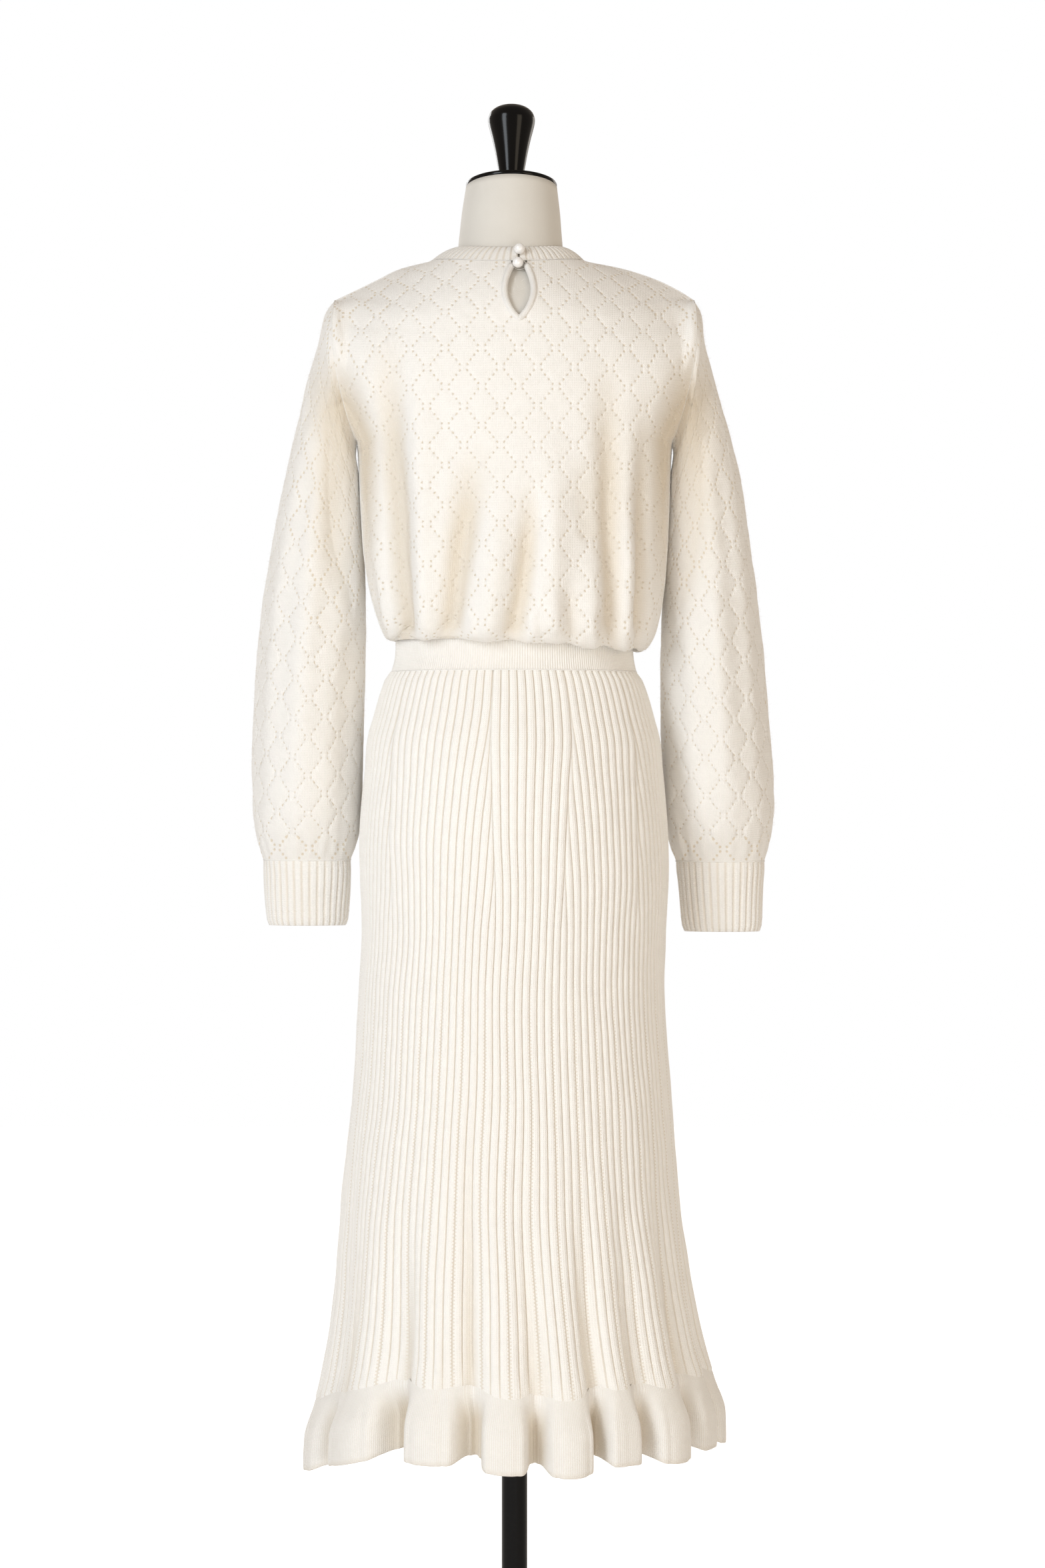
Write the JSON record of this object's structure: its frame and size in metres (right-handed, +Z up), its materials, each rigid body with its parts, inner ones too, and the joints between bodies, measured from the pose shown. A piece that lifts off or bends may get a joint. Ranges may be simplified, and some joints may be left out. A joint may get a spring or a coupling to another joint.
{
  "type": "knit dress on a dress form with stand",
  "caption": "Cream knitted midi dress with balloon sleeves, a buttoned keyhole back, ribbed skirt and flounced hem, worn by a limbless dress form on a pole stand.",
  "frame": {"origin": "on the floor under the middle of the stand's pole, at the centre of the base's underside", "axes": "+Z up along the pole, +X towards the wearer's right, the back of the dress towards -Y and the front towards +Y"},
  "size_m": [0.5141, 0.384, 1.5572],
  "materials": {
    "cream_knit": "soft brushed knit with a fine halo of fibre",
    "form_cloth": "smooth close-woven cover",
    "black_gloss": "gloss black lacquer",
    "pearl": "pearl lustre"
  },
  "bodies": {
    "root": {"bodice_back": "cream_knit", "bodice_front": "cream_knit", "keyhole_edging": "cream_knit", "neckband": "cream_knit", "sleeve_left": "cream_knit", "sleeve_right": "cream_knit", "cuff_left": "cream_knit", "cuff_right": "cream_knit", "waistband": "cream_knit", "skirt_back": "cream_knit", "skirt_front": "cream_knit", "flounce": "cream_knit", "button_upper": "pearl", "button_lower": "pearl", "form_torso": "form_cloth", "neck_cap": "black_gloss", "finial_collar": "black_gloss", "finial": "black_gloss", "pole": "black_gloss", "stand_base": "black_gloss"}
  },
  "joints": []
}
